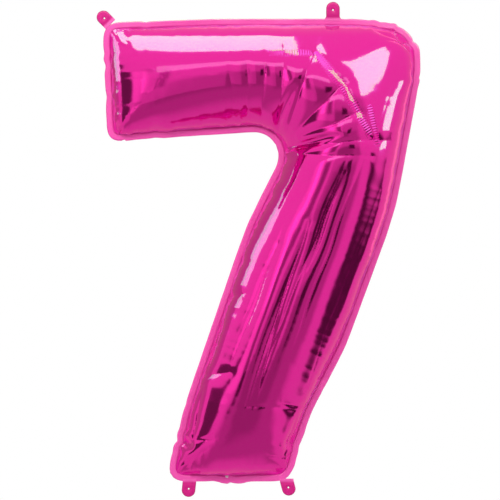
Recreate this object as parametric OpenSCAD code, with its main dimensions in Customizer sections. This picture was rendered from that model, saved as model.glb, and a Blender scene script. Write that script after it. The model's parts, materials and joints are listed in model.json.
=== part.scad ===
// Foil balloon in the shape of the digit 7, inflated.
// The balloon hangs from the hole in its top tab, which is the origin. +Z is up, the front faces -Y.
// Two films are welded together along a flat margin, with a two-ply self-sealing valve in the foot's seam.

/* [Digit] */
// Height between the top and bottom seam lines
digit_h = 827; // [780:1:880]
// Width from the end seam of the bar to where the top and right seam lines would cross
digit_w = 577; // [540:1:620]
// Height of the bar at its free end, seam to seam
bar_end_h = 194; // [180:1:210]
// How far the top of the bar sags at its free end
bar_sag = 7; // [0:1:12]
// How far the underside of the bar rises towards the elbow
bar_rise = 22; // [0:1:30]
// Distance of the elbow from the bar's end seam, before rounding
elbow_x = 361; // [340:1:375]
// Distance from the bar's end seam to the foot's right corner
foot_x = 321; // [300:1:340]
// Width of the foot, seam to seam
foot_w = 203; // [180:1:215]
// How far the leg's right edge bows out
right_bow = 40; // [20:1:60]
// How far the leg's left edge bows out
left_bow = 24; // [0:1:30]
// Rounding of the top right corner of the seam
corner_r = 62; // [50:1:100]
// Rounding of the elbow of the seam
elbow_r = 56; // [40:1:70]
// Greatest depth of one half of the inflated balloon
half_depth = 108; // [80:1:120]

/* [Film] */
// Width of the flat welded margin
margin = 12; // [8:1:14]
// Thickness of one film
film_t = 0.05; // [0.04:0.01:0.1]
// Thickness of the weld between the films
weld_t = 0.1; // [0.08:0.01:0.14]

/* [Tabs] */
// Width of a hanging tab
tab_w = 25; // [20:1:30]
// Length of a tab beyond the centre of its hole
tab_tip = 15; // [13:1:18]
// Radius of the punched hole in a tab
hole_r = 1.5; // [1:0.5:4]
// Gap along the fold line between a tab and the margin
fold_gap = 0.3; // [0.2:0.05:0.5]

/* [Valve] */
// Width of the valve plies
valve_w = 38; // [30:1:45]
// Length of the valve plies inside the gas space
valve_len = 95; // [70:1:110]
// Thickness of one valve ply
ply_t = 0.04; // [0.03:0.005:0.045]
// How far the filling mouth stands out below the margin
mouth_drop = 6; // [4:1:8]
// Half width of the filling mouth's lobe
mouth_half_w = 30; // [26:1:34]
// Width of the non-stick print that keeps the channel open across the weld
print_w = 26; // [20:1:30]

/* [Hidden] */

// Rows along the bar, round the elbow and down the leg, and columns across.
bar_rows = 13;
fan_rows = 12;
leg_rows = 16;
across = 18;
arc_steps = 12;

// Height of the top seam line: the tab's hole is this far above it.
hole_reach = 16;
top_z = -(hole_reach + margin);
bottom_z = top_z - digit_h;
left_x = -411;
right_x = left_x + digit_w;
end_slant = 8;

// Corners of the seam line's top and right run, from the bar's end to the foot.
bar_top = [left_x, top_z - bar_sag];
top_shoulder = [left_x + 0.34 * digit_w, top_z];
top_slope = [right_x - 132, top_z];
corner = [right_x - 2, top_z - 9];
foot_right = [left_x + foot_x, bottom_z];
right_upper = bowed(corner, foot_right, 0.39, right_bow);
right_lower = bowed(corner, foot_right, 0.7, right_bow * 0.66);
right_knee = bowed(corner, foot_right, 0.857, 1);

// Corners of its underside and left run.
bar_under = [left_x + end_slant, bar_top[1] - bar_end_h];
elbow = [left_x + elbow_x, bar_under[1] + bar_rise];
foot_left = foot_right - [foot_w, 0];
left_upper = bowed(foot_left, elbow, 0.69, left_bow);
left_lower = bowed(foot_left, elbow, 0.2, left_bow * 0.6);
bow_r = 500;

// Length of the rounded end of the gas space, where it closes down to the end seam.
end_len = 95;

film_y = weld_t / 2;
skin_y = film_y + film_t;

mouth_x = (foot_left[0] + foot_right[0]) / 2 + 7;
sleeve_root_z = bottom_z + fold_gap;

// Tabs: the middle of the fold line, the way the tab points, and the fold line's distance from the hole.
tab_top_at = [0, top_z + margin];
tab_top_left_at = bar_top + [-0.15, 1] * margin;
tab_bottom_left_at = [foot_left[0] + 29, bottom_z - margin];
tab_bottom_right_at = [foot_right[0] + 5, bottom_z - margin];

// ---- Points along a rounded line ----

function unit2(v) = v / norm(v);

// The point at share t of the way from a to b, moved out by d to the left of that way.
function bowed(a, b, t, d) = a + (b - a) * t + d * left_of(unit2(b - a));

// The rounded corner at b on the way from a to c.
function rounded(a, b, c, r, n = arc_steps) =
    let (
        u = unit2(a - b),
        v = unit2(c - b),
        half = acos(u * v) / 2,
        centre = b + unit2(u + v) * r / sin(half),
        start = b + u * r / tan(half),
        finish = b + v * r / tan(half),
        a0 = atan2(start[1] - centre[1], start[0] - centre[0]),
        a1 = atan2(finish[1] - centre[1], finish[0] - centre[0]),
        turn = (a1 - a0 + 540) % 360 - 180
    )
    [for (k = [0:n]) centre + r * [cos(a0 + turn * k / n), sin(a0 + turn * k / n)]];

// The line through the points c, with each corner between its ends rounded to the radius r has for it.
function rounded_line(c, r) =
    concat([c[0]], [for (k = [1:len(c) - 2]) each arc_at(c, r, k)], [c[len(c) - 1]]);
function arc_at(c, r, k) = rounded(c[k - 1], c[k], c[k + 1], r[k - 1]);

// Distance along line p up to its point k.
function run(p, k) = k == 0 ? 0 : run(p, k - 1) + norm(p[k] - p[k - 1]);

// The point at distance d along line p.
function along(p, d, k = 1) =
    let (step = norm(p[k] - p[k - 1]))
    (d <= step || k == len(p) - 1) ? p[k - 1] + (p[k] - p[k - 1]) * d / step : along(p, d - step, k + 1);

// ---- The two seam lines that bound the digit: top and right, and underside and left ----

outer_line = rounded_line(
    [bar_top, top_shoulder, top_slope, corner, right_upper, right_lower, right_knee, foot_right],
    [bow_r, bow_r, corner_r, bow_r, 300, 250]
);
elbow_arc = rounded(bar_under, elbow, left_upper, elbow_r);
inner_leg_line = rounded_line([elbow_arc[arc_steps], left_upper, left_lower, foot_left], [bow_r, bow_r]);

inner_bar_len = norm(elbow_arc[0] - bar_under);
inner_fan_len = run(elbow_arc, arc_steps);
inner_leg_len = run(inner_leg_line, len(inner_leg_line) - 1);
outer_len = run(outer_line, len(outer_line) - 1);
outer_fan_len = outer_len - inner_bar_len - inner_leg_len;

// Share of the way along the bar and the leg, closer together at the ends of the balloon.
function ease(t) = 1 - cos(90 * t);

row_count = bar_rows + fan_rows + leg_rows;

// Row s runs across the digit, from its outer seam point to its inner one.
function outer_point(s) =
    s <= bar_rows ? along(outer_line, inner_bar_len * ease(s / bar_rows))
    : s <= bar_rows + fan_rows ? along(outer_line, inner_bar_len + outer_fan_len * (s - bar_rows) / fan_rows)
    : along(outer_line, outer_len - inner_leg_len * ease((row_count - s) / leg_rows));

function inner_point(s) =
    s <= bar_rows ? bar_under + (elbow_arc[0] - bar_under) * ease(s / bar_rows)
    : s <= bar_rows + fan_rows ? along(elbow_arc, inner_fan_len * (s - bar_rows) / fan_rows)
    : along(inner_leg_line, inner_leg_len * (1 - ease((row_count - s) / leg_rows)));

outer_points = [for (s = [0:row_count]) outer_point(s)];
inner_points = [for (s = [0:row_count]) inner_point(s)];

// How much of its depth a row has at distance d from the end seam.
function end_share(d) = d >= end_len ? 1 : sqrt(1 - pow(1 - d / end_len, 2));

function row_depth(s) =
    let (
        from_bar_end = inner_bar_len * ease(min(s, bar_rows) / bar_rows),
        from_foot = inner_leg_len * ease(min(row_count - s, leg_rows) / leg_rows)
    )
    min(norm(outer_points[s] - inner_points[s]) / 2, half_depth)
        * end_share(from_bar_end) * end_share(from_foot);

// How far the margin reaches out at a corner, as a share of its width. The top left tab needs more room.
corner_cut = 0.65;
tab_corner_cut = 0.45;

// ---- The film: a grid of rows and columns, with the flat margin as its first and last ones ----

last_row = row_count + 2;
last_col = across + 2;

function clamp(k, low, high) = max(low, min(high, k));
function left_of(v) = [-v[1], v[0]];

// Unit normals that point out of the digit, along the seam lines and at its two ends.
function rail_out(points, s, side) =
    side * left_of(unit2(points[clamp(s + 1, 0, row_count)] - points[clamp(s - 1, 0, row_count)]));
bar_end_out = left_of(unit2(bar_top - bar_under));
foot_out = [0, -1];

// The filling mouth's lobe on the foot's margin.
function mouth_lobe(x) =
    abs(x - mouth_x) >= mouth_half_w ? 0 : mouth_drop * pow(cos(90 * (x - mouth_x) / mouth_half_w), 2);

// Place of grid point (i, j) in the plane of the seam, with a margin of width m.
function seam_point(i, j) =
    let (
        s = clamp(i - 1, 0, row_count),
        share = (1 - cos(180 * clamp(j - 1, 0, across) / across)) / 2
    )
    outer_points[s] * (1 - share) + inner_points[s] * share;

function plan_point(i, j, m) =
    let (
        p = seam_point(i, j),
        s = clamp(i - 1, 0, row_count),
        side = j == 0 ? rail_out(outer_points, s, 1) : j == last_col ? rail_out(inner_points, s, -1) : [0, 0],
        end = i == 0 ? bar_end_out : i == last_row ? foot_out : [0, 0],
        at_corner = norm(side) > 0 && norm(end) > 0,
        cut = !at_corner ? 1 : i + j == 0 ? tab_corner_cut : corner_cut
    )
    p + (side + end) * m * cut + (i == last_row ? [0, -mouth_lobe(p[0])] : [0, 0]);

function on_margin(i, j) = i == 0 || i == last_row || j == 0 || j == last_col;
function on_seam(i, j) = !on_margin(i, j) && (i == 1 || i == last_row - 1 || j == 1 || j == last_col - 1);

// Height of the inner face above the seam plane.
function rise(i, j) = on_margin(i, j) ? 0 : row_depth(i - 1) * sin(180 * (j - 1) / across);

function inner_face(i, j) =
    let (p = plan_point(i, j, margin))
    [p[0], -film_y - rise(i, j), p[1]];

// The way the film's thickness is laid on at a grid point.
function skin_dir(i, j) =
    on_margin(i, j) ? [0, -1, 0]
    : on_seam(i, j) ? let (out = (i == 1 ? bar_end_out : i == last_row - 1 ? foot_out : [0, 0])
            + (j == 1 ? rail_out(outer_points, i - 1, 1)
                : j == last_col - 1 ? rail_out(inner_points, i - 1, -1) : [0, 0]))
        [out[0], -1, out[1]]
    : let (down = inner_face(i + 1, j) - inner_face(i - 1, j),
            over = inner_face(i, j + 1) - inner_face(i, j - 1),
            n = cross(down, over))
        -n * sign(n[1]) / norm(n);

function quad(a, b, c, d) = [[a, b, c], [a, c, d]];

// One film with its margin, front side. The back film is its mirror image.
module film() {
    cols = last_col + 1;
    count = (last_row + 1) * cols;
    points = [
        for (i = [0:last_row], j = [0:last_col]) inner_face(i, j),
        for (i = [0:last_row], j = [0:last_col]) inner_face(i, j) + film_t * skin_dir(i, j),
    ];
    faces = [
        for (i = [0:last_row - 1], j = [0:last_col - 1])
            let (a = i * cols + j, b = a + 1, c = a + cols + 1, d = a + cols)
            each concat(quad(a, b, c, d), quad(a + count, d + count, c + count, b + count)),
        for (i = [0:last_row - 1], edge = [0, last_col])
            let (a = i * cols + edge, b = a + cols)
            each edge == 0 ? quad(a, b, b + count, a + count) : quad(b, a, a + count, b + count),
        for (j = [0:last_col - 1], edge = [0, last_row])
            let (a = edge * cols + j, b = a + 1)
            each edge == 0 ? quad(b, a, a + count, b + count) : quad(a, b, b + count, a + count),
    ];
    polyhedron(points, faces);
}

module front_film() {
    color("deeppink") film();
}

module back_film() {
    color("deeppink") mirror([0, 1, 0]) film();
}

// ---- The weld and the tabs are flat plates in the seam plane ----

// A flat plate of thickness t about y, drawn in x and z.
module plate(t, y = 0) {
    translate([0, y, 0]) rotate([90, 0, 0]) linear_extrude(height = t, center = true) children();
}

// The closed loop of grid points that is k rows and columns in from the edge.
function loop(k, m) =
    [
        for (j = [k:last_col - k]) plan_point(k, j, m),
        for (i = [k + 1:last_row - k]) plan_point(i, last_col - k, m),
        for (j = [last_col - k - 1:-1:k]) plan_point(last_row - k, j, m),
        for (i = [last_row - k - 1:-1:k + 1]) plan_point(i, k, m),
    ];

module perimeter_weld() {
    color("hotpink") plate(weld_t) difference() {
        polygon(loop(0, margin));
        polygon(loop(1, margin));
        translate([mouth_x - valve_w / 2, bottom_z - margin - 2 * mouth_drop])
            square([valve_w, 2 * margin + 2 * mouth_drop]);
    }
}

// A tab drawn pointing up from the middle of its fold line, with a hole at the given reach.
module tab_outline(reach, flare) {
    end_z = reach + tab_tip - tab_w / 2;
    translate([-tab_w / 2, 0]) square([tab_w, end_z]);
    translate([0, end_z]) circle(d = tab_w, $fn = 64);
    if (flare > 0)
        for (side = [-1, 1])
            difference() {
                translate([side > 0 ? tab_w / 2 - 1 : -tab_w / 2 - flare, 0]) square([flare + 1, flare]);
                translate([side * (tab_w / 2 + flare), flare]) circle(r = flare, $fn = 48);
            }
}

// A tab at a fold line's middle. tilt turns the tab in its own plane, and the fold line stays level
// when level is true.
module tab(at, tilt, reach, flare = 0, level = true) {
    difference() {
        plate(2 * skin_y) difference() {
            translate(at) rotate(tilt) translate([0, level ? -tab_w / 4 : fold_gap])
                tab_outline_from(reach, flare, level);
            if (level) translate([at[0] - tab_w, at[1] > top_z ? at[1] - tab_w + fold_gap : at[1] - fold_gap])
                square([2 * tab_w, tab_w]);
        }
        hole = at + reach * [-sin(tilt), cos(tilt)];
        translate([hole[0], 0, hole[1]]) rotate([90, 0, 0])
            cylinder(r = hole_r, h = 1, center = true, $fn = 48);
    }
}

// The outline, lengthened below its fold line so that a level cut can be made across a tilted tab.
module tab_outline_from(reach, flare, level) {
    extra = level ? tab_w / 4 : -fold_gap;
    translate([0, extra]) tab_outline(reach, flare);
    if (level) translate([-tab_w / 2, 0]) square([tab_w, extra + 1]);
}

module tab_top() {
    color("deeppink") tab(tab_top_at, 0, hole_reach, flare = 5);
}

module tab_top_left() {
    color("deeppink") tab(tab_top_left_at, 45, 11, level = false);
}

module tab_bottom_left() {
    color("deeppink") tab(tab_bottom_left_at, 174, 14);
}

module tab_bottom_right() {
    color("deeppink") tab(tab_bottom_right_at, 195, 12);
}

// ---- The self-sealing valve: two plies that lie flat on each other ----

module valve_plate(t, y, w, z0, z1) {
    plate(t, y) translate([mouth_x - w / 2, z0]) square([w, z1 - z0]);
}

ply_y = film_y - ply_t / 2;
mouth_z = bottom_z - margin - mouth_drop * 0.6;

module valve_inlet_front_ply() {
    color("white") valve_plate(ply_t, -ply_y, valve_w, mouth_z + 2, bottom_z);
}

module valve_inlet_back_ply() {
    color("white") valve_plate(ply_t, ply_y, valve_w, mouth_z, bottom_z);
}

module valve_release_print() {
    color("lightgray") valve_plate(weld_t - 2 * ply_t, 0, print_w, mouth_z + 2, bottom_z);
}

module valve_sleeve_back_ply() {
    color("white") valve_plate(ply_t, ply_y, valve_w, sleeve_root_z, sleeve_root_z + valve_len);
}

module valve_sleeve_front_ply() {
    color("white") valve_plate(ply_t, -ply_y, valve_w, sleeve_root_z, sleeve_root_z + valve_len - 5);
}

front_film();
back_film();
perimeter_weld();
tab_top();
tab_top_left();
tab_bottom_left();
tab_bottom_right();
valve_inlet_front_ply();
valve_inlet_back_ply();
valve_release_print();
valve_sleeve_back_ply();
valve_sleeve_front_ply();
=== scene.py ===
"""Looks of the inflated foil digit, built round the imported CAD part, in metres."""
import json
import math

import bpy
import numpy as np
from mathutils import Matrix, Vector, kdtree, noise
from mathutils.geometry import delaunay_2d_cdt


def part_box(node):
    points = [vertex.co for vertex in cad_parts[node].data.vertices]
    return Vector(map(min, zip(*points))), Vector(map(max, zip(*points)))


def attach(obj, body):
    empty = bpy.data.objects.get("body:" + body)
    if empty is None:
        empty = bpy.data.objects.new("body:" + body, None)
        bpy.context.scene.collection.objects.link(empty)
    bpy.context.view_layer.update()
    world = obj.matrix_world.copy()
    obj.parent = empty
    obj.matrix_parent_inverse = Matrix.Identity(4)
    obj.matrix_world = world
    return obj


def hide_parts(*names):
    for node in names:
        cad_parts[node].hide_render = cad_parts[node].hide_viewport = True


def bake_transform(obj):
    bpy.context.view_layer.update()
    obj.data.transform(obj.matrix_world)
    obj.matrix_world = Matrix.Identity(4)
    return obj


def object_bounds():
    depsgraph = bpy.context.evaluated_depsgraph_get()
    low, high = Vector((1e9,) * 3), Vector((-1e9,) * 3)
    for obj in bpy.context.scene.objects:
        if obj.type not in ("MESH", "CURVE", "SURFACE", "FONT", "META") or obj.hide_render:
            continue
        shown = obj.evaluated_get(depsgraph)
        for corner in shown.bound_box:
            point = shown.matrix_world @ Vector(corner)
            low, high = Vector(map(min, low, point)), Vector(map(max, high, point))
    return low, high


MARGIN = 0.012          # flat welded margin outside the seam
COARSE = 0.020          # mesh size of the first inflation
SEAM_STEP = 0.002       # distance between the points of the seam line
EDGE_STEP = 0.001       # and of the margin's outer edge
TAB_STEP = 0.0012       # mesh size of the tabs
TAB_ROOT = 0.005        # how far a tab's root runs under the margin
FOLD = 0.0006           # half the width of a tab's fold
SHEET_HALF = 0.00012    # half the margin's thickness
FIXED = (0.025, 0.060)  # near a joint the seam is flat up to the first distance, free from the second
FLOOR = -1.2
SEED = 3
FRONT, BACK = -1, 1     # the front film bulges towards -Y

# Places on the digit in the seam plane, as (x, z).
# Creases pressed into both films, as start, end, depth and width.
CREASES = [
    # Across the bar, then fanning round the elbow, then straight across the top of the leg.
    ((-0.192, -0.110), (-0.180, -0.215), 0.0015, 0.008),
    ((-0.160, -0.090), (-0.158, -0.215), 0.0022, 0.010),
    ((-0.126, -0.070), (-0.134, -0.218), 0.0034, 0.011),
    ((-0.090, -0.070), (-0.104, -0.221), 0.0038, 0.011),
    ((-0.034, -0.076), (-0.086, -0.222), 0.0050, 0.012),
    ((0.018, -0.138), (-0.076, -0.232), 0.0055, 0.013),
    ((0.052, -0.190), (-0.074, -0.240), 0.0042, 0.012),
    ((0.100, -0.243), (-0.078, -0.250), 0.0050, 0.011),
    ((0.070, -0.272), (-0.070, -0.268), 0.0026, 0.009),
    # The ridge where the fan meets the smooth outer corner.
    ((-0.040, -0.070), (0.020, -0.142), 0.0030, 0.010),
    ((0.014, -0.132), (0.076, -0.240), 0.0030, 0.010),
    # The gathered tip of the outer corner.
    ((0.080, -0.040), (0.128, -0.054), 0.0040, 0.006),
    ((0.116, -0.034), (0.140, -0.078), 0.0040, 0.006),
    ((0.096, -0.056), (0.138, -0.058), 0.0030, 0.005),
    # Flats of the outer corner.
    ((0.130, -0.055), (0.028, -0.134), 0.0010, 0.020),
    ((0.138, -0.070), (0.076, -0.236), 0.0010, 0.020),
    # Down the leg.
    ((0.058, -0.262), (-0.080, -0.640), 0.0030, 0.014),
    ((0.024, -0.270), (-0.140, -0.690), 0.0026, 0.014),
    ((0.086, -0.330), (-0.052, -0.700), 0.0028, 0.013),
    ((-0.056, -0.320), (-0.200, -0.640), 0.0020, 0.013),
    ((-0.100, -0.560), (-0.150, -0.740), 0.0022, 0.012),
    ((-0.046, -0.390), (-0.168, -0.745), 0.0062, 0.017),
    ((0.020, -0.300), (-0.050, -0.480), 0.0040, 0.014),
    ((-0.104, -0.430), (-0.192, -0.660), 0.0045, 0.012),
    # Along the pockets beside the leg's two seams, and across their ends.
    ((-0.196, -0.540), (-0.232, -0.664), 0.0040, 0.008),
    ((-0.238, -0.690), (-0.262, -0.800), 0.0040, 0.008),
    ((-0.066, -0.744), (-0.092, -0.830), 0.0030, 0.008),
    ((-0.170, -0.722), (-0.060, -0.736), 0.0020, 0.008),
    ((-0.206, -0.530), (-0.168, -0.520), 0.0030, 0.008),
    ((-0.236, -0.672), (-0.190, -0.664), 0.0034, 0.008),
    ((-0.262, -0.790), (-0.215, -0.786), 0.0026, 0.008),
    ((-0.050, -0.728), (-0.096, -0.722), 0.0034, 0.008),
    ((-0.078, -0.826), (-0.120, -0.818), 0.0024, 0.008),
]
# The leg's two ends, the outer corner and the inner bend.
SHOULDER = (0.010, -0.250)
FOOT = (-0.190, -0.855)
CORNER = (0.120, -0.080)
ELBOW = (-0.110, -0.225)

# Where the film is drawn smooth, as the line's two ends, its reach and the rounds of smoothing.
CALM = [
    ((-0.400, -0.110), (-0.180, -0.120), 0.110, 24),
    ((0.060, -0.110), (0.110, -0.070), 0.065, 24),
    ((0.095, -0.180), (0.095, -0.150), 0.040, 16),
    ((0.010, -0.330), (-0.130, -0.700), 0.100, 30),
    ((0.110, -0.200), (-0.050, -0.760), 0.055, 20),
    ((-0.080, -0.320), (-0.230, -0.720), 0.040, 12),
    ((-0.150, -0.780), (-0.160, -0.850), 0.080, 16),
]

# What the softboxes add to the room's own light. Most of it is in the hue that the dye takes out, so
# that the foil mirrors a softbox as pale pink instead of clipping.
PALE = (0.30, 17.0, 1.6)
# The same for foil that is seen at a grazing angle, where it tints less.
GRAZED = (0.30, 8.0, 1.2)
BAND = (0.25, 3.2, 0.6)
PLAIN = (0.24, 0.24, 0.24)
CARD = (0.55, 0.55, 0.55)
BRIGHT = (0.4, 0.4, 0.4)
KEY = (11.0, 11.0, 11.0)
PRESSED = (0.90, 0.11, 0.45)    # the margin's lighter pink
EDGE_TINT = (0.95, 0.16, 0.55, 1.0)     # what the dye leaves of light at a grazing angle

# Lines with fine ribs across them, as runs of points and a reach to each side.
RIBS = [
    ([(-0.036, -0.080), (0.013, -0.141), (0.068, -0.233)], 0.009),
    ([(-0.120, -0.084), (-0.040, -0.084)], 0.006),
    ([(-0.208, -0.545), (-0.240, -0.660)], 0.012),
    ([(0.064, -0.180), (0.080, -0.250)], 0.006),
]
RIB = 0.0046            # from one rib to the next

# How far the films' edge gives way under the valve's root.
VALVE_ROOM = 0.0022


# ---- Closed lines in the seam plane, as arrays of (x, z) ----

def ring_resample(line, step):
    """An even number of points at equal distances along a closed line."""
    closed = np.vstack([line, line[:1]])
    run = np.r_[0, np.cumsum(np.linalg.norm(np.diff(closed, axis=0), axis=1))]
    count = int(round(run[-1] / step / 2)) * 2
    at = np.arange(count) * run[-1] / count
    return np.c_[np.interp(at, run, closed[:, 0]), np.interp(at, run, closed[:, 1])]


def ring_blur(line, step, radius):
    """A closed line or closed list of values, blurred over radius."""
    reach = int(3 * radius / step) + 1
    kernel = np.exp(-0.5 * (np.arange(-reach, reach + 1) * step / radius) ** 2)
    kernel /= kernel.sum()
    columns = line.reshape(len(line), -1).T
    out = [np.convolve(np.r_[c[-reach:], c, c[:reach]], kernel, "valid") for c in columns]
    return np.stack(out, 1).reshape(line.shape)


def ring_smooth(values, rounds):
    for _ in range(rounds):
        values = values / 2 + (np.roll(values, 1, 0) + np.roll(values, -1, 0)) / 4
    return values


def ring_halved(values):
    """The points halfway between a closed list's points, on a smooth line through them."""
    near = values + np.roll(values, -1, 0)
    far = np.roll(values, 1, 0) + np.roll(values, -2, 0)
    return (9 * near - far) / 16


def outward(line):
    """Unit normals that point out of a counter-clockwise closed line."""
    along = np.roll(line, -1, 0) - np.roll(line, 1, 0)
    normal = np.c_[along[:, 1], -along[:, 0]]
    return normal / np.linalg.norm(normal, axis=1)[:, None]


def counter_clockwise(line):
    """The line, turned round if need be. Of three columns the first and last are taken as x and z."""
    x, z = line[:, 0], line[:, -1]
    area = np.sum(x * np.roll(z, -1) - np.roll(x, -1) * z)
    return line if area > 0 else line[::-1].copy()


def inside(line, points):
    """Which points lie inside a closed line."""
    hit = np.zeros(len(points), bool)
    for (ax, az), (bx, bz) in zip(line, np.roll(line, -1, 0)):
        if az == bz:
            continue
        spans = (az > points[:, 1]) != (bz > points[:, 1])
        hit ^= spans & (points[:, 0] < (bx - ax) * (points[:, 1] - az) / (bz - az) + ax)
    return hit


def nearest(points, line, distance=False):
    """For each point, the number of the line's nearest point, or its distance."""
    tree = kdtree.KDTree(len(line))
    for k, (x, z) in enumerate(line):
        tree.insert((x, z, 0), k)
    tree.balance()
    return np.array([tree.find((x, z, 0))[2 if distance else 1] for x, z in points])


def open_sides(faces):
    """The sides that only one face has, as each one's start and end point."""
    sides = set()
    for face in faces:
        loop = [int(v) for v in face]
        sides |= set(zip(loop, loop[1:] + loop[:1]))
    return {a: b for a, b in sides if (b, a) not in sides}


def take_loop(after):
    """Takes one closed loop out of the open sides and returns its points in order."""
    order = [min(after)]
    while after[order[-1]] != order[0]:
        order.append(after.pop(order[-1]))
    after.pop(order[-1])
    return order


def node_loops(node):
    """The closed border lines of a flat CAD node's front face, the longest first."""
    mesh = frame["nodes"][node].data
    points = np.array([v.co for v in mesh.vertices])
    _, first, same = np.unique(np.round(points * 1e6), axis=0, return_index=True, return_inverse=True)
    same = same.ravel()
    after = open_sides(same[list(f.vertices)] for f in mesh.polygons if f.normal.y < -0.9)
    loops = []
    while after:
        loops.append(points[first[take_loop(after)]][:, [0, 2]])
    return sorted(loops, key=len, reverse=True)


def weld_lines():
    """The seam line and the outer edge of the margin, from the CAD weld."""
    line = node_loops("perimeter_weld")[0]
    # The valve's channel cuts the weld through: its two cut edges part the seam from the outer edge.
    cut_x = [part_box("valve_inlet_back_ply")[k].x for k in (0, 1)]
    ends = np.roll(line, -1, 0)
    cuts = sorted(
        k for k in range(len(line))
        for x in cut_x
        if abs(line[k, 0] - x) < 1e-5 and abs(ends[k, 0] - x) < 1e-5
    )
    one = np.roll(line, -cuts[0] - 1, 0)[: cuts[1] - cuts[0]]
    two = np.roll(line, -cuts[1] - 1, 0)[: len(line) - len(one)]
    seam, edge = sorted((one, two), key=lambda c: np.ptp(c[:, 0]))
    return counter_clockwise(seam), counter_clockwise(edge)


# ---- Inflating two flat films that are welded along their edge ----

class Foil:
    """Front and back film as one triangle mesh: the shared ring, front points, back points, margin's edge."""


def flat_mesh(ring, size):
    """Triangles over the inside of a flat outline, with the ring's points first."""
    count = len(ring)
    low, high = ring.min(0), ring.max(0)
    rise = size * math.sqrt(3) / 2
    rows = int((high[1] - low[1]) / rise) + 2
    columns = int((high[0] - low[0]) / size) + 2
    grid = np.array([
        (low[0] + size * (i + 0.5 * (j % 2)), low[1] + rise * j)
        for j in range(rows) for i in range(columns)
    ])
    grid = grid[inside(ring, grid)]
    grid = grid[nearest(grid, ring, True) > 0.6 * size]
    points = [tuple(p) for p in np.vstack([ring, grid])]
    border = [(k, (k + 1) % count) for k in range(count)]
    made = delaunay_2d_cdt(points, border, [list(range(count))], 1, 1e-7)
    return np.array([tuple(p) for p in made[0]]), np.array(made[2])


def edges_of(faces):
    pairs = np.vstack([faces[:, [0, 1]], faces[:, [1, 2]], faces[:, [2, 0]]])
    return np.unique(np.sort(pairs, axis=1), axis=0, return_inverse=True)


def make_foil(flat, faces, ring_count):
    f = Foil()
    f.flat, f.faces, f.n, f.count = flat, faces, ring_count, len(flat)
    extra = f.count - f.n
    f.front = np.arange(f.count)
    f.back = np.r_[np.arange(f.n), f.count + np.arange(extra)]
    f.base = f.count + extra
    f.total = f.base + f.n
    a = np.arange(f.n)
    b = np.roll(a, -1)
    f.film = np.vstack([f.front[faces], f.back[faces][:, ::-1]])
    rim = np.vstack([np.c_[a, b, f.base + a], np.c_[b, f.base + b, f.base + a]])
    f.edges, _ = edges_of(np.vstack([f.film, rim]))
    used = [0] * f.total
    colour = np.empty(len(f.edges), int)
    for i, (p, q) in enumerate(f.edges.tolist()):
        taken, k = used[p] | used[q], 0
        while taken >> k & 1:
            k += 1
        colour[i] = k
        used[p] |= 1 << k
        used[q] |= 1 << k
    f.groups = [np.nonzero(colour == k)[0] for k in range(colour.max() + 1)]
    near = [[] for _ in range(f.total)]
    for p, q in f.edges.tolist():
        near[p].append(q)
        near[q].append(p)
    f.width = max(map(len, near))
    f.near = np.array([x + [i] * (f.width - len(x)) for i, x in enumerate(near)])
    f.degree = np.array([len(x) for x in near], float)[:, None]
    set_pattern(f, flat)
    return f


def set_pattern(f, flat):
    """Takes a flat cutting pattern: every edge keeps its length in it."""
    f.flat = flat
    rim = flat[:f.n] + outward(flat[:f.n]) * MARGIN
    f.cut = np.vstack([flat, flat[f.n:], rim])
    rest = np.linalg.norm(f.cut[f.edges[:, 0]] - f.cut[f.edges[:, 1]], axis=1)
    p, q, r = (f.cut[f.film[:, k]] for k in range(3))
    area = np.abs(np.cross(q - p, r - p)) / 2
    share = sum(np.bincount(f.film[:, k], area / 3, f.total) for k in range(3))
    f.mean = share[:f.base].mean()
    f.light = f.mean / np.maximum(share, 0.5 * f.mean)
    f.batches = []
    for k in f.groups:
        a, b = f.edges[k].T
        wa, wb = f.light[a], f.light[b]
        f.batches.append((a.copy(), b.copy(), rest[k].copy(), wa / (wa + wb), wb / (wa + wb)))


def relax(f, x, v, steps, pressure, slack, bend=0.02, goal=None, pull=0.0):
    """Steps of pressure on both films, edges that hardly stretch, and a little stiffness.
    The ring is pulled towards goal, and towards the seam plane."""
    flat_faces = f.film.ravel()
    for s in range(steps):
        if s % 2 == 0:
            p, q, r = (x[f.film[:, k]] for k in range(3))
            normal = np.cross(q - p, r - p) / 6
            push = np.stack([
                np.bincount(flat_faces, np.repeat(normal[:, k], 3), f.total) for k in range(3)
            ], 1)
            push *= (pressure * f.light / f.mean)[:, None]
        old = x
        x = x + v + push
        for a, b, rest, wa, wb in f.batches:
            d = x[b] - x[a]
            length = np.sqrt((d * d).sum(1))
            c = (length - rest) / np.maximum(length, 1e-9)
            c = np.where(c > 0, c, c * slack)
            x[a] += d * (c * wa)[:, None]
            x[b] -= d * (c * wb)[:, None]
        once = (x[f.near].sum(1) - x * f.width) / f.degree
        x = x - bend * ((once[f.near].sum(1) - once * f.width) / f.degree)
        if goal is not None:
            x[:f.n, 0] += pull * (goal[:, 0] - x[:f.n, 0])
            x[:f.n, 2] += pull * (goal[:, 1] - x[:f.n, 2])
            x[:f.n, 1] *= 1 - pull
        v = (x - old) * 0.97
    return x, v


def line_up(f, x, line):
    """Turns and moves the foil in the seam plane so that its ring lies on the line."""
    ring = x[:f.n][:, [0, 2]]
    goal = line[nearest(ring, line)]
    q, t = ring.mean(0), goal.mean(0)
    u, _, w = np.linalg.svd((ring - q).T @ (goal - t))
    turn = (u @ w).T
    x = x.copy()
    x[:, [0, 2]] = (x[:, [0, 2]] - q) @ turn.T + t
    return x, turn


def harmonic(f):
    """Weights that spread a shift of the ring smoothly over the film."""
    edges, _ = edges_of(f.faces)
    a, b = edges.T
    m = np.zeros((f.count, f.count))
    m[a, b] = m[b, a] = -1
    m[np.arange(f.count), np.arange(f.count)] = -m.sum(1)
    return np.linalg.solve(m[f.n:, f.n:], -m[f.n:, :f.n])


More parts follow.
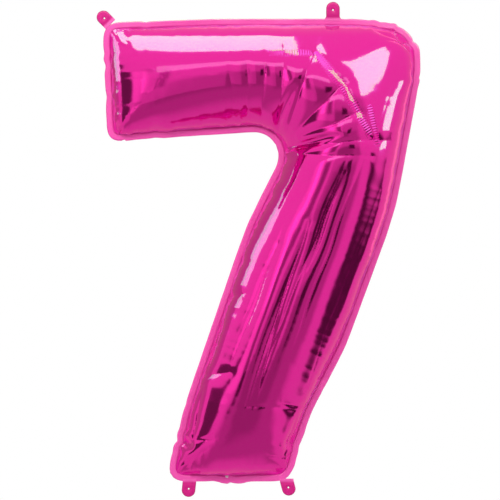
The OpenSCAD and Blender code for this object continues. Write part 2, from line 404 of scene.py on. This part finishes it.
def refine(f, x, v):
    """Splits every triangle in four."""
    n, count = f.n, f.count
    edges, place = edges_of(f.faces)
    place = place.reshape(3, -1)
    step = edges[:, 1] - edges[:, 0]
    on = (edges[:, 1] < n) & ((step == 1) | ((edges[:, 0] == 0) & (edges[:, 1] == n - 1)))
    start = np.where(step == 1, edges[:, 0], n - 1)
    old = np.r_[2 * np.arange(n), 2 * n + np.arange(count - n)]
    mid = np.empty(len(edges), int)
    mid[on] = 2 * start[on] + 1
    first = n + count
    mid[~on] = first + np.arange((~on).sum())
    total = first + (~on).sum()

    def spread(values):
        out = np.zeros((total, values.shape[1]))
        out[old] = values
        out[mid] = (values[edges[:, 0]] + values[edges[:, 1]]) / 2
        out[1:2 * n:2] = ring_halved(values[:n])
        return out

    a, b, c = (old[f.faces[:, k]] for k in range(3))
    ab, bc, ca = mid[place[0]], mid[place[1]], mid[place[2]]
    faces = np.vstack([np.c_[a, ab, ca], np.c_[ab, b, bc], np.c_[ca, bc, c], np.c_[ab, bc, ca]])
    finer = make_foil(spread(f.flat), faces, 2 * n)

    def everywhere(values):
        rim = np.zeros((2 * n, 3))
        rim[::2] = values[f.base:]
        rim[1::2] = ring_halved(values[f.base:])
        return np.vstack([spread(values[f.front]), spread(values[f.back])[2 * n:], rim])

    return finer, everywhere(x), everywhere(v) * 0.5


def inflate(seam):
    """Finds the flat pattern whose inflated seam is the CAD seam, then inflates it on finer meshes."""
    size = COARSE
    ring = ring_resample(seam, size)
    pattern = ring + ring_smooth(outward(ring), 6) * 0.04
    flat, faces = flat_mesh(pattern, size)
    f = make_foil(flat, faces, len(ring))
    spread = harmonic(f)
    x = np.zeros((f.total, 3))
    x[:, [0, 2]] = f.cut
    x[f.n:f.count, 1] = -0.004
    x[f.count:f.base, 1] = 0.004
    x += np.random.default_rng(SEED).normal(0, 0.0003, x.shape)
    v = np.zeros_like(x)
    push = 0.001
    x, v = relax(f, x, v, 400, push * size, 0.1)
    for _ in range(12):
        x, turn = line_up(f, x, seam)
        v[:, [0, 2]] = v[:, [0, 2]] @ turn.T
        turned = (f.flat - f.flat.mean(0)) @ turn.T + f.flat.mean(0)
        here = x[:f.n][:, [0, 2]]
        shift = ring_smooth(seam[nearest(here, seam)] - here, 2) * 0.6
        turned[:f.n] += shift
        turned[f.n:] += spread @ shift
        set_pattern(f, turned)
        x, v = relax(f, x, v, 120, push * size, 0.1)
    x, turn = line_up(f, x, seam)
    v[:] = 0
    for rounds, pull in (((8, 0.02), (18, 0.003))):
        size /= 2
        f, x, v = refine(f, x, v)
        for _ in range(rounds):
            goal = seam[nearest(x[:f.n][:, [0, 2]], seam)]
            x, v = relax(f, x, v, 25, push * size, 0.3, 0.01, goal, pull)
    f.x = x
    f.size = size
    return f


# ---- Meshes ----

def add_piece(name, points, faces):
    mesh = bpy.data.meshes.new(name)
    mesh.from_pydata([tuple(p) for p in points], [], [tuple(int(v) for v in f) for f in faces])
    mesh.update()
    piece = bpy.data.objects.new(name, mesh)
    bpy.context.scene.collection.objects.link(piece)
    return piece


def subdivide(piece, rounds):
    """Replaces the piece's mesh with its subdivided form."""
    change = piece.modifiers.new("fine", "SUBSURF")
    change.levels = change.render_levels = rounds
    bpy.context.view_layer.update()
    seen = piece.evaluated_get(bpy.context.evaluated_depsgraph_get())
    mesh = bpy.data.meshes.new_from_object(seen)
    piece.modifiers.clear()
    piece.data = mesh


def get_points(piece):
    out = np.zeros(len(piece.data.vertices) * 3)
    piece.data.vertices.foreach_get("co", out)
    return out.reshape(-1, 3)


def set_points(piece, points):
    piece.data.vertices.foreach_set("co", points.ravel())
    piece.data.update()


def get_normals(piece):
    out = np.zeros(len(piece.data.vertices) * 3)
    piece.data.vertex_normals.foreach_get("vector", out)
    return out.reshape(-1, 3)


def set_value(piece, name, values):
    """Stores one number at each point, for the materials."""
    attribute = piece.data.attributes.new(name, "FLOAT", "POINT")
    attribute.data.foreach_set("value", values.astype(np.float32))


def smooth_shaded(piece):
    piece.data.polygons.foreach_set("use_smooth", [True] * len(piece.data.polygons))


# ---- The two films ----

def off_line(plane, start, end):
    """Each point's distance from the stretch between two points, and its share of the way along."""
    a, b = np.array(start), np.array(end)
    along = b - a
    share = np.clip(((plane - a) @ along) / (along @ along), 0, 1)
    return np.linalg.norm(plane - a - share[:, None] * along, axis=1), share


def even_out(f, rounds):
    """Takes the mesh's own ripple out of the films, most in the calm places, and leaves the ring as it is."""
    plane = f.x[:, [0, 2]]
    wanted = np.full(f.total, float(rounds))
    for start, end, reach, more in CALM:
        off, _ = off_line(plane, start, end)
        wanted = np.maximum(wanted, more * (1 - ease(0.6 * reach, reach, off)))
    for k in range(int(wanted.max())):
        share = np.clip(wanted - k, 0, 1)[f.n:f.base, None] * 0.5
        middle = (f.x[f.near].sum(1) - f.x * f.width) / f.degree + f.x
        f.x[f.n:f.base] += share * (middle[f.n:f.base] - f.x[f.n:f.base])


def fit_to_seam(f, seam):
    """Brings the ring onto the CAD seam and lets the films follow, nearer points more."""
    ring = f.x[:f.n][:, [0, 2]]
    # How far round the seam each ring point belongs, evened out so that the corners fill.
    count = len(seam)
    ramp = np.arange(f.n) * count / f.n
    ahead = nearest(ring, seam) - ramp
    ahead = (ahead - ahead[0] + count / 2) % count - count / 2 + ahead[0]
    ahead = ring_blur(ahead, f.size, 0.012) + ramp
    closed = np.vstack([seam, seam[:1]])
    at = ahead % count
    stops = np.arange(count + 1)
    goal = np.c_[np.interp(at, stops, closed[:, 0]), np.interp(at, stops, closed[:, 1])]
    # Room under the valve's root, so that its plies clear the films as they sway.
    off_root = np.linalg.norm(goal - valve_root, axis=1)
    goal[:, 1] -= VALVE_ROOM * (1 - ease(0.021, 0.030, off_root))
    shift = ring_blur(goal - ring, f.size, 0.003)
    # Flat in the seam plane where the tabs and the valve are fixed.
    still = 1 - ease(*FIXED, nearest(ring, fixed_points, True))
    shift = np.c_[shift, -f.x[:f.n, 1] * still]
    rim = f.cut[:f.n]
    for start in range(0, f.base, 2000):
        part = slice(start, min(start + 2000, f.base))
        gap = ((f.cut[part][:, None] - rim[None]) ** 2).sum(2) + 0.006 ** 2
        weight = gap ** -1.5
        move = weight @ shift / weight.sum(1)[:, None]
        f.x[part] += move[:, [0, 2, 1]]


def film_piece(f, name, side):
    """One film as its own piece, subdivided, facing outwards."""
    rows = f.front if side == FRONT else f.back
    faces = f.faces if side == FRONT else f.faces[:, ::-1]
    piece = add_piece(name, f.x[rows], faces)
    subdivide(piece, 1)
    smooth_shaded(piece)
    return piece


def hash_noise(points, seed):
    """Smooth noise between about -1 and 1 at each point."""
    shift = Vector((17.3 * seed, 5.1 * seed, 9.7 * seed))
    return np.array([noise.noise(Vector(p) + shift) for p in points])


def ease(low, high, values):
    t = np.clip((values - low) / (high - low), 0, 1)
    return t * t * (3 - 2 * t)


def crease(plane, start, end, deep, wide):
    """A valley along a line, sharp at the bottom and fading at both ends."""
    off, share = off_line(plane, start, end)
    return -deep * np.exp(-off / wide) * np.sin(np.pi * np.clip(share, 0.04, 0.96)) ** 0.5


def long_folds(plane, along, across, side, seed):
    """Low ridges and flats that run lengthwise down a tube."""
    u = plane @ across
    v = plane @ along
    wander = 0.012 * np.sin(v * 9 + seed)
    where = np.c_[(u + wander) * 21, v * 1.8, np.full(len(u), 0.7 * side)]
    return hash_noise(where, seed)


def crumple(piece, side, seam):
    """Raises the pleats, facets and creases of stiff foil on a film."""
    points = get_points(piece)
    plane = points[:, [0, 2]]
    gap = nearest(plane, seam, True)
    run = nearest(plane, seam) * SEAM_STEP
    rise = np.abs(points[:, 1])
    free = ease(0.0, 0.012, rise)
    lift = np.zeros(len(plane))
    sway = 0.004 * np.c_[hash_noise(points * 14, 21 + side), hash_noise(points * 14, 31 + side)]
    for start, end, deep, wide in CREASES:
        lift += crease(plane + sway, start, end, deep, wide)
    leg = ease(0.20, 0.30, -plane[:, 1])
    bar = 1 - ease(-0.20, -0.10, plane[:, 0])
    down = np.array(FOOT) - np.array(SHOULDER)
    down /= np.linalg.norm(down)
    across = np.array([-down[1], down[0]])
    lift += 0.0026 * leg * long_folds(plane, down, across, side, 5)
    lift += 0.0004 * bar * long_folds(plane, np.array([1.0, 0.0]), np.array([0.0, 1.0]), side, 9)
    # Short pleats that stand across the seam, strongest where the ring is crowded.
    wave = hash_noise(np.c_[run * 55, gap * 8, np.full(len(run), float(side))], 2)
    corner = ease(0.06, 0.13, np.linalg.norm(plane - np.array(CORNER), axis=1))
    elbow = 1 - ease(0.05, 0.14, np.linalg.norm(plane - np.array(ELBOW), axis=1))
    deep = 0.0020 * (0.2 + 0.8 * corner + 0.8 * elbow) * np.exp(-rise / (0.030 + 0.015 * elbow))
    lift += deep * ease(0, 0.01, rise) * (1 - 2 * np.abs(wave))
    set_points(piece, points + get_normals(piece) * (lift * free)[:, None])
    along, ribbed = np.zeros(len(plane)), np.zeros(len(plane))
    for line, reach in RIBS:
        start = 0.0
        for a, b in zip(line, line[1:]):
            off, share = off_line(plane, a, b)
            length = math.dist(a, b)
            weight = 1 - ease(0.4 * reach, reach, off)
            along = np.where(weight > ribbed, start + share * length, along)
            ribbed = np.maximum(ribbed, weight)
            start += length
    set_value(piece, "along", along)
    set_value(piece, "ribbed", ribbed)


# ---- The welded margin ----

def margin_piece(loop, seam, edge):
    """The flat margin, where both films are welded together, from the films' edge outwards."""
    plane = loop[:, [0, 2]]
    at = nearest(plane, seam)
    normal = outward(seam)
    # The reach from each seam point, straight out, to the CAD's outer edge.
    way = edge[None] - seam[:, None]
    off = np.abs(way[..., 0] * normal[:, None, 1] - way[..., 1] * normal[:, None, 0])
    ahead = (way * normal[:, None]).sum(2)
    off[(ahead < 0) | (ahead > 0.03)] = 1
    wide = np.take_along_axis(ahead, off.argmin(1)[:, None], 1)[:, 0]
    wide = ring_blur(np.clip(wide, 0.006, 0.022), SEAM_STEP, 0.004)[at]
    normal = ring_blur(normal[at], 0.0025, 0.004)
    normal /= np.linalg.norm(normal, axis=1)[:, None]
    run = np.r_[0, np.cumsum(np.linalg.norm(np.diff(plane, axis=0), axis=1))]
    sway = hash_noise(np.c_[run * 22, run * 0, run * 0], 4) * 0.0011
    sway *= ease(*FIXED, nearest(plane, fixed_points, True))
    columns = 5
    rows = []
    for face in (-1, 1):
        steps = range(columns) if face < 0 else reversed(range(columns))
        for k in steps:
            t = k / (columns - 1)
            p = plane + normal * (wide * t)[:, None]
            y = loop[:, 1] * (1 - t) ** 2 + sway * t * t + face * SHEET_HALF
            rows.append(np.c_[p[:, 0], y, p[:, 1]])
    count = len(plane)
    points = np.vstack(rows)
    faces = []
    total = len(rows)
    for r in range(total):
        s = (r + 1) % total
        for i in range(count):
            j = (i + 1) % count
            faces.append((r * count + i, r * count + j, s * count + j, s * count + i))
    piece = add_piece("seam_margin", points, faces)
    smooth_shaded(piece)
    return piece


# ---- Hanging tabs ----

def tab_piece(node, joint):
    """A hanging tab of two welded films with a punched hole. Its root runs into the margin."""
    outer, hole = sorted(node_loops(node), key=lambda c: -np.ptp(c, axis=0).max())[:2]
    hinge = next(j for j in frame["joints"] if j["name"] == joint)
    at = np.array(hinge["pos_m"])[[0, 2]]
    axis = np.array(hinge["axis"])[[0, 2]]
    way = np.array([-axis[1], axis[0]])
    way = way * np.sign((hole.mean(0) - at) @ way)
    outer = counter_clockwise(ring_resample(outer, TAB_STEP))
    hole = counter_clockwise(ring_resample(hole, TAB_STEP / 1.5))
    root = (outer - at) @ way < FOLD
    outer = outer - way * np.where(root, TAB_ROOT, 0)[:, None]
    low, high = outer.min(0), outer.max(0)
    across, up = (np.arange(low[k], high[k], TAB_STEP) for k in (0, 1))
    grid = np.array([(x, z) for x in across for z in up])
    grid = grid[inside(outer, grid) & ~inside(hole, grid)]
    rim = np.vstack([outer, hole])
    grid = grid[nearest(grid, rim, True) > 0.6 * TAB_STEP]
    n, m = len(outer), len(hole)
    border = [(k, (k + 1) % n) for k in range(n)] + [(n + k, n + (k + 1) % m) for k in range(m)]
    points = np.vstack([rim, grid])
    made = delaunay_2d_cdt([tuple(p) for p in points], border, [], 1, 1e-7)
    flat = np.array([tuple(p) for p in made[0]])
    faces = [t for t in made[2] if not inside(hole, flat[list(t)].mean(0)[None])[0]]
    gap = nearest(flat, rim, True)
    reach = (flat - at) @ way
    puff = 0.00020 + 0.0005 * ease(0.0, 0.004, gap) * ease(0.002, 0.008, reach)
    count = len(flat)
    front = np.c_[flat[:, 0], -puff, flat[:, 1]]
    back = np.c_[flat[:, 0], puff, flat[:, 1]]
    area = sum(np.cross(flat[b] - flat[a], flat[c] - flat[a]) for a, b, c in faces)
    if area < 0:
        faces = [tuple(reversed(t)) for t in faces]
    all_faces = [tuple(t) for t in faces] + [tuple(count + v for v in reversed(t)) for t in faces]
    all_faces += [(b, a, count + a, count + b) for a, b in open_sides(faces).items()]
    piece = add_piece(node.replace("tab_", "tab_film_"), np.vstack([front, back]), all_faces)
    smooth_shaded(piece)
    set_value(piece, "gap", np.r_[gap, gap])
    set_value(piece, "reach", np.r_[reach, reach])
    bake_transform(piece)
    return piece


# ---- Materials ----

def colour_socket(sockets, name):
    """A Mix node's colour socket: the node also has float and vector sockets of that name."""
    return next(s for s in sockets if s.name == name and s.type == "RGBA")


def math_node(tree, kind, one, two=0.0):
    """A Math node on two numbers or sockets."""
    node = tree.nodes.new("ShaderNodeMath")
    node.operation = kind
    for k, value in enumerate((one, two)):
        if isinstance(value, float):
            node.inputs[k].default_value = value
        else:
            tree.links.new(value, node.inputs[k])
    return node.outputs[0]


class Shader:
    """A node material with short calls for what the foil and films need."""

    def __init__(self, name):
        self.material = bpy.data.materials.new(name)
        self.material.use_nodes = True
        self.tree = self.material.node_tree
        self.surface = self.tree.nodes["Principled BSDF"]
        self.place = self.tree.nodes.new("ShaderNodeTexCoord").outputs["Object"]

    def put(self, **values):
        for name, value in values.items():
            self.surface.inputs[name.replace("_", " ")].default_value = value

    def link(self, source, name):
        self.tree.links.new(source, self.surface.inputs[name])

    def noise(self, scale, detail=3.0, stretch=(1, 1, 1), turn=0.0, distortion=0.0):
        mapping = self.tree.nodes.new("ShaderNodeMapping")
        mapping.inputs["Scale"].default_value = stretch
        mapping.inputs["Rotation"].default_value = (0, turn, 0)
        node = self.tree.nodes.new("ShaderNodeTexNoise")
        node.inputs["Scale"].default_value = scale
        node.inputs["Detail"].default_value = detail
        node.inputs["Distortion"].default_value = distortion
        self.tree.links.new(self.place, mapping.inputs["Vector"])
        self.tree.links.new(mapping.outputs[0], node.inputs["Vector"])
        return node.outputs["Fac"]

    def span(self, source, low, high, new_low, new_high):
        node = self.tree.nodes.new("ShaderNodeMapRange")
        for k, value in enumerate((low, high, new_low, new_high), 1):
            node.inputs[k].default_value = value
        self.tree.links.new(source, node.inputs[0])
        return node.outputs[0]

    def mix(self, share, one, two):
        """Goes from one colour, fixed or already in the tree, to another fixed one."""
        node = self.tree.nodes.new("ShaderNodeMix")
        node.data_type = "RGBA"
        self.tree.links.new(share, node.inputs["Factor"])
        if isinstance(one, tuple):
            colour_socket(node.inputs, "A").default_value = (*one, 1)
        else:
            self.tree.links.new(one, colour_socket(node.inputs, "A"))
        colour_socket(node.inputs, "B").default_value = (*two, 1)
        return colour_socket(node.outputs, "Result")

    def mirrored(self):
        """1 where the surface is seen in another one's mirror image."""
        return self.tree.nodes.new("ShaderNodeLightPath").outputs["Is Glossy Ray"]

    def value(self, name):
        node = self.tree.nodes.new("ShaderNodeAttribute")
        node.attribute_name = name
        return node.outputs["Fac"]

    def bump(self, height, strength, distance, under=None):
        node = self.tree.nodes.new("ShaderNodeBump")
        node.inputs["Strength"].default_value = strength
        node.inputs["Distance"].default_value = distance
        self.tree.links.new(height, node.inputs["Height"])
        if under is not None:
            self.tree.links.new(under, node.inputs["Normal"])
        return node.outputs["Normal"]


def foil_finish():
    """Mirror-bright dyed foil under a clear film, with the fine crinkle of stiff foil."""
    s = Shader("magenta_foil")
    s.put(Metallic=1.0, Coat_Weight=0.50, Coat_Roughness=0.05, Coat_IOR=1.5)
    s.put(Specular_Tint=EDGE_TINT)
    open_foil = s.mix(s.noise(5.0, 4.0), (0.84, 0.008, 0.33), (0.80, 0.005, 0.30))
    # Foil that is itself mirrored in foil is dyed twice, which would turn it from magenta to red.
    # Painted reflection colour: where the foil is seen in another surface's mirror image, its colour is
    # painted a paler, bluer magenta than its own.
    s.link(s.mix(s.mirrored(), open_foil, (0.88, 0.05, 0.72)), "Base Color")
    s.link(s.span(s.noise(28.0, 4.0), 0.3, 0.7, 0.09, 0.15), "Roughness")
    crinkle = s.bump(s.noise(38.0, 4.0, (1, 1, 1), 0.0, 0.6), 0.06, 0.0012)
    # Fine ribs across the creases where the foil is gathered.
    ribs = math_node(s.tree, "SINE", math_node(s.tree, "MULTIPLY", s.value("along"), 2 * math.pi / RIB))
    ribs = math_node(s.tree, "MULTIPLY", ribs, s.value("ribbed"))
    s.link(s.bump(ribs, 0.55, 0.0006, crinkle), "Normal")
    return s.material


def weld_finish():
    """The pressed margin: the same foil, a little duller, with the fine ribs of the sealing jaw."""
    s = Shader("pressed_margin")
    s.put(Metallic=0.3, Coat_Weight=0.3, Coat_Roughness=0.15, Coat_IOR=1.5)
    s.put(Specular_Tint=EDGE_TINT)
    own = s.mix(s.noise(9.0, 4.0), PRESSED, (0.86, 0.06, 0.39))
    # Painted reflection colour: where the margin is seen in a mirror image, it is painted pale lilac instead
    # of its own pink.
    s.link(s.mix(s.mirrored(), own, (0.90, 0.30, 0.95)), "Base Color")
    s.link(s.span(s.noise(40.0, 4.0), 0.3, 0.7, 0.30, 0.45), "Roughness")
    ribs = s.tree.nodes.new("ShaderNodeTexWave")
    ribs.inputs["Scale"].default_value = 180.0
    s.tree.links.new(s.place, ribs.inputs["Vector"])
    pressed = s.bump(ribs.outputs["Fac"], 0.15, 0.0001)
    s.link(s.bump(s.noise(60.0, 3.0), 0.25, 0.0006, pressed), "Normal")
    return s.material


def tab_finish():
    s = Shader("tab_foil")
    s.put(Metallic=0.35, Coat_Weight=0.3, Coat_Roughness=0.15, Coat_IOR=1.5)
    s.put(Specular_Tint=EDGE_TINT)
    own = s.mix(s.noise(60.0, 4.0), (0.70, 0.018, 0.24), (0.60, 0.012, 0.20))
    # Painted shade: the tab is painted darker towards its outer edge and round its hole.
    rim = s.mix(s.span(s.value("gap"), 0.0, 0.0022, 0.6, 0.0), own, (0.36, 0.015, 0.13))
    own = s.mix(s.span(s.value("reach"), -0.001, 0.003, 1.0, 0.0), rim, PRESSED)
    # Painted reflection colour: where the tab is seen in a mirror image, it is painted a paler pink-lilac
    # than its own colour.
    s.link(s.mix(s.mirrored(), own, (0.80, 0.20, 0.75)), "Base Color")
    s.link(s.span(s.noise(120.0, 4.0), 0.3, 0.7, 0.30, 0.42), "Roughness")
    s.link(s.bump(s.noise(140.0, 3.0), 0.3, 0.0005), "Normal")
    return s.material


def ply_finish():
    """Thin clear polythene of the valve."""
    s = Shader("valve_film")
    s.put(Alpha=0.5, IOR=1.51, Coat_Weight=0.3, Coat_Roughness=0.2)
    s.link(s.mix(s.noise(50.0), (0.90, 0.90, 0.92), (0.80, 0.80, 0.84)), "Base Color")
    s.link(s.span(s.noise(90.0), 0.3, 0.7, 0.28, 0.45), "Roughness")
    s.link(s.bump(s.noise(120.0), 0.2, 0.0003), "Normal")
    return s.material


def print_finish():
    """The non-stick print that keeps the valve's channel open."""
    s = Shader("release_print")
    s.link(s.mix(s.noise(160.0, 5.0), (0.86, 0.86, 0.84), (0.62, 0.62, 0.62)), "Base Color")
    s.link(s.span(s.noise(200.0), 0.3, 0.7, 0.5, 0.7), "Roughness")
    s.link(s.bump(s.noise(260.0), 0.2, 0.0002), "Normal")
    return s.material


def floor_finish():
    s = Shader("pale_floor")
    s.put(Specular_IOR_Level=0.2)
    s.link(s.mix(s.noise(3.0), (0.84, 0.84, 0.85), (0.80, 0.80, 0.81)), "Base Color")
    s.link(s.span(s.noise(14.0), 0.3, 0.7, 0.6, 0.75), "Roughness")
    return s.material


def paint(piece, material):
    piece.data.materials.clear()
    piece.data.materials.append(material)


# ---- Stage, light and camera ----

def add_floor(level):
    """A round pale floor some way below the hanging balloon."""
    rings, spokes, radius = 8, 64, 2.6
    points = [(CENTRE.x, 0, level)]
    faces = []
    for r in range(1, rings + 1):
        for k in range(spokes):
            a = 2 * math.pi * k / spokes
            d = radius * r / rings
            points.append((CENTRE.x + d * math.cos(a), d * math.sin(a), level))
    for k in range(spokes):
        faces.append((0, 1 + k, 1 + (k + 1) % spokes))
    for r in range(rings - 1):
        for k in range(spokes):
            a, b = 1 + r * spokes + k, 1 + r * spokes + (k + 1) % spokes
            faces.append((a, a + spokes, b + spokes, b))
    floor = add_piece("floor", points, faces)
    paint(floor, floor_finish())
    floor.visible_glossy = False


def add_softbox(name, place, target, size, radiance):
    """A softbox seen only in what mirrors it."""
    light = bpy.data.lights.new(name, "AREA")
    light.shape = "RECTANGLE"
    light.size, light.size_y = size
    light.energy = max(radiance) * math.pi * size[0] * size[1]
    light.color = [value / max(radiance) for value in radiance]
    lamp = bpy.data.objects.new(name, light)
    bpy.context.scene.collection.objects.link(lamp)
    lamp.location = place
    lamp.rotation_euler = (Vector(target) - Vector(place)).to_track_quat("-Z", "Y").to_euler()
    lamp.visible_camera = False
    lamp.visible_diffuse = False
    return lamp


class Sky:
    """The studio round the balloon: white to the camera, with darker walls in what it mirrors."""

    def __init__(self):
        world = bpy.data.worlds.new("studio")
        bpy.context.scene.world = world
        world.use_nodes = True
        self.tree = world.node_tree
        self.tree.nodes.clear()
        way = self.tree.nodes.new("ShaderNodeTexCoord").outputs["Generated"]
        parts = self.tree.nodes.new("ShaderNodeSeparateXYZ")
        self.tree.links.new(way, parts.inputs[0])
        self.x, self.y, self.z = parts.outputs

    def step(self, source, at, soft):
        """Rises smoothly from 0 to 1 about at."""
        node = self.tree.nodes.new("ShaderNodeMapRange")
        node.interpolation_type = "SMOOTHSTEP"
        for k, value in enumerate((at - soft, at + soft, 0.0, 1.0), 1):
            node.inputs[k].default_value = value
        self.tree.links.new(source, node.inputs[0])
        return node.outputs[0]

    def patch(self, x, y, z, soft):
        """1 where the direction's parts all lie in these spans."""
        out = 1.0
        for source, (low, high) in zip((self.x, self.y, self.z), (x, y, z)):
            for at, below in ((low, False), (high, True)):
                if abs(at) < 1:
                    edge = self.step(source, at, soft)
                    if below:
                        edge = self.math("SUBTRACT", 1.0, edge)
                    out = edge if out == 1.0 else self.math("MULTIPLY", out, edge)
        return out

    def shade(self, level, patch, new_level):
        """Turns the level towards new_level inside a patch."""
        change = self.math("MULTIPLY", self.math("SUBTRACT", new_level, level), patch)
        return self.math("ADD", level, change)

    def math(self, kind, one, two):
        return math_node(self.tree, kind, one, two)

    def finish(self, level):
        """Shows level in what is mirrored and lit, and plain white to the camera."""
        lit = self.tree.nodes.new("ShaderNodeBackground")
        self.tree.links.new(level, lit.inputs["Color"])
        seen = self.tree.nodes.new("ShaderNodeBackground")
        seen.inputs["Color"].default_value = (1, 1, 1, 1)
        path = self.tree.nodes.new("ShaderNodeLightPath")
        mix = self.tree.nodes.new("ShaderNodeMixShader")
        out = self.tree.nodes.new("ShaderNodeOutputWorld")
        self.tree.links.new(path.outputs["Is Camera Ray"], mix.inputs[0])
        self.tree.links.new(lit.outputs[0], mix.inputs[1])
        self.tree.links.new(seen.outputs[0], mix.inputs[2])
        self.tree.links.new(mix.outputs[0], out.inputs["Surface"])


def add_studio():
    sky = Sky()
    way_up = sky.step(sky.z, 0.0, 1.0)
    level = sky.math("ADD", 0.80, sky.math("MULTIPLY", way_up, 0.25))
    # The dimmer front of the room, the dark stands in it, and the cloths to the left and behind.
    level = sky.shade(level, sky.patch((-0.62, 0.60), (-1, 0.1), (-0.08, 0.28), 0.10), 0.70)
    level = sky.shade(level, sky.patch((-0.62, 0.60), (-1, 0.1), (-0.94, -0.04), 0.10), 0.50)
    level = sky.shade(level, sky.patch((-0.30, 0.20), (-1, 0.1), (-0.60, -0.04), 0.10), 0.36)
    level = sky.shade(level, sky.patch((0.05, 0.30), (-1, 0.1), (-0.20, 0.08), 0.04), 0.07)
    level = sky.shade(level, sky.patch((-0.58, -0.40), (-1, 0.1), (-0.15, 0.26), 0.05), 0.08)
    level = sky.shade(level, sky.patch((0.87, 0.96), (-1, 0.3), (-0.60, -0.13), 0.03), 0.08)
    level = sky.shade(level, sky.patch((-0.97, -0.35), (0.28, 0.95), (-0.15, 0.55), 0.05), 0.60)
    level = sky.shade(level, sky.patch((-1.0, -0.82), (-0.8, 0.0), (-0.30, 0.19), 0.03), 0.15)
    level = sky.shade(level, sky.patch((-0.5, 0.4), (0.2, 1), (-0.5, 0.2), 0.10), 0.20)
    sky.finish(level)
    middle = (CENTRE.x, 0, CENTRE.z + 0.1)
    add_softbox("overhead", (-1.03, -0.5, 2.1), (-1.03, 0, -0.13), (2.1, 2.0), PALE)
    add_softbox("band_front", (-0.5, -2.6, 0.80), middle, (2.4, 0.42), BAND)
    add_softbox("card_front", (-0.94, -1.0, -0.255), (-0.94, 0, -0.255), (1.32, 0.91), PLAIN)
    add_softbox("card_bar", (-0.93, -0.96, -0.08), (-0.93, 0, -0.08), (0.32, 0.48), CARD)
    add_softbox("side_left", (-1.3, 0.25, 0.15), (-0.1, 0, -0.3), (0.5, 0.6), GRAZED)
    add_softbox("corner_right", (1.6, -1.4, 1.25), middle, (1.3, 1.3), PALE)
    add_softbox("corner_low", (2.0, -0.08, -0.20), (0.1, -0.02, -0.17), (0.62, 0.38), PALE)
    add_softbox("back_top", (0.6, 2.0, 1.6), middle, (2.2, 0.7), BRIGHT)
    add_softbox("back_right", (1.9, 2.0, -0.2), middle, (0.5, 1.8), BRIGHT)
    key = add_softbox("key", (-0.5, -2.6, 0.9), middle, (2.2, 0.6), KEY)
    key.visible_diffuse = True
    key.visible_glossy = False


def add_camera():
    """Straight on, from far off, at the photograph's framing."""
    camera = bpy.data.cameras.new("camera")
    camera.sensor_width = 36.0
    distance, view = 6.0, 0.920
    camera.lens = camera.sensor_width * distance / view
    camera.clip_end = 100.0
    body = bpy.data.objects.new("camera", camera)
    bpy.context.scene.collection.objects.link(body)
    body.location = (CENTRE.x - 0.0158, -distance, CENTRE.z - 0.0012)
    body.rotation_euler = (math.pi / 2, 0, 0)
    bpy.context.scene.camera = body


# ---- Putting it together ----

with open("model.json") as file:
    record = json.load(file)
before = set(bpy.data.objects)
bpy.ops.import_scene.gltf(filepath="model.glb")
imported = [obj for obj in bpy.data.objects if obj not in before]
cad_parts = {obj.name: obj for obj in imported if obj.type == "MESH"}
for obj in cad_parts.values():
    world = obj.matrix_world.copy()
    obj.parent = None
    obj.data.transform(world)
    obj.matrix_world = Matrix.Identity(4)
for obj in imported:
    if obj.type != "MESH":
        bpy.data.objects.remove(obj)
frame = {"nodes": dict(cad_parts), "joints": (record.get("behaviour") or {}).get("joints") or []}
cad_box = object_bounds()
CENTRE = (cad_box[0] + cad_box[1]) / 2

seam_line, edge_line = weld_lines()
seam_line = ring_resample(seam_line, SEAM_STEP)
sharp_line = ring_blur(seam_line, SEAM_STEP, 0.0035)
seam_line = ring_blur(seam_line, SEAM_STEP, 0.008)
edge_line = ring_resample(edge_line, EDGE_STEP)
joint_at = {j["name"]: np.array(j["pos_m"])[[0, 2]] for j in frame["joints"]}
fixed_points = np.array(list(joint_at.values()))
valve_root = joint_at["valve_sway"]

foil = inflate(seam_line)
even_out(foil, 3)
fit_to_seam(foil, sharp_line)

front = film_piece(foil, "foil_front", FRONT)
back = film_piece(foil, "foil_back", BACK)
front_border = take_loop(open_sides(face.vertices for face in front.data.polygons))
loop_line = counter_clockwise(get_points(front)[front_border])
margin = margin_piece(loop_line, sharp_line, edge_line)
crumple(front, FRONT, sharp_line)
crumple(back, BACK, sharp_line)

tabs = []
for place in ("top", "top_left", "bottom_left", "bottom_right"):
    tab = tab_piece("tab_" + place, place + "_tab_fold")
    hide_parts("tab_" + place)
    tabs.append(tab)

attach(front, "balloon")
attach(back, "balloon")
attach(margin, "balloon")
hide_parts("front_film")
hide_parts("back_film")
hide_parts("perimeter_weld")

foil_look = foil_finish()
paint(front, foil_look)
paint(back, foil_look)
paint(margin, weld_finish())
tab_look = tab_finish()
for tab in tabs:
    paint(tab, tab_look)
ply_look = ply_finish()
for ply in ("inlet_front", "inlet_back", "sleeve_back", "sleeve_front"):
    paint(frame["nodes"]["valve_" + ply + "_ply"], ply_look)
paint(frame["nodes"]["valve_release_print"], print_finish())

add_floor(FLOOR)
add_studio()
add_camera()
bpy.context.scene.view_settings.view_transform = "Standard"
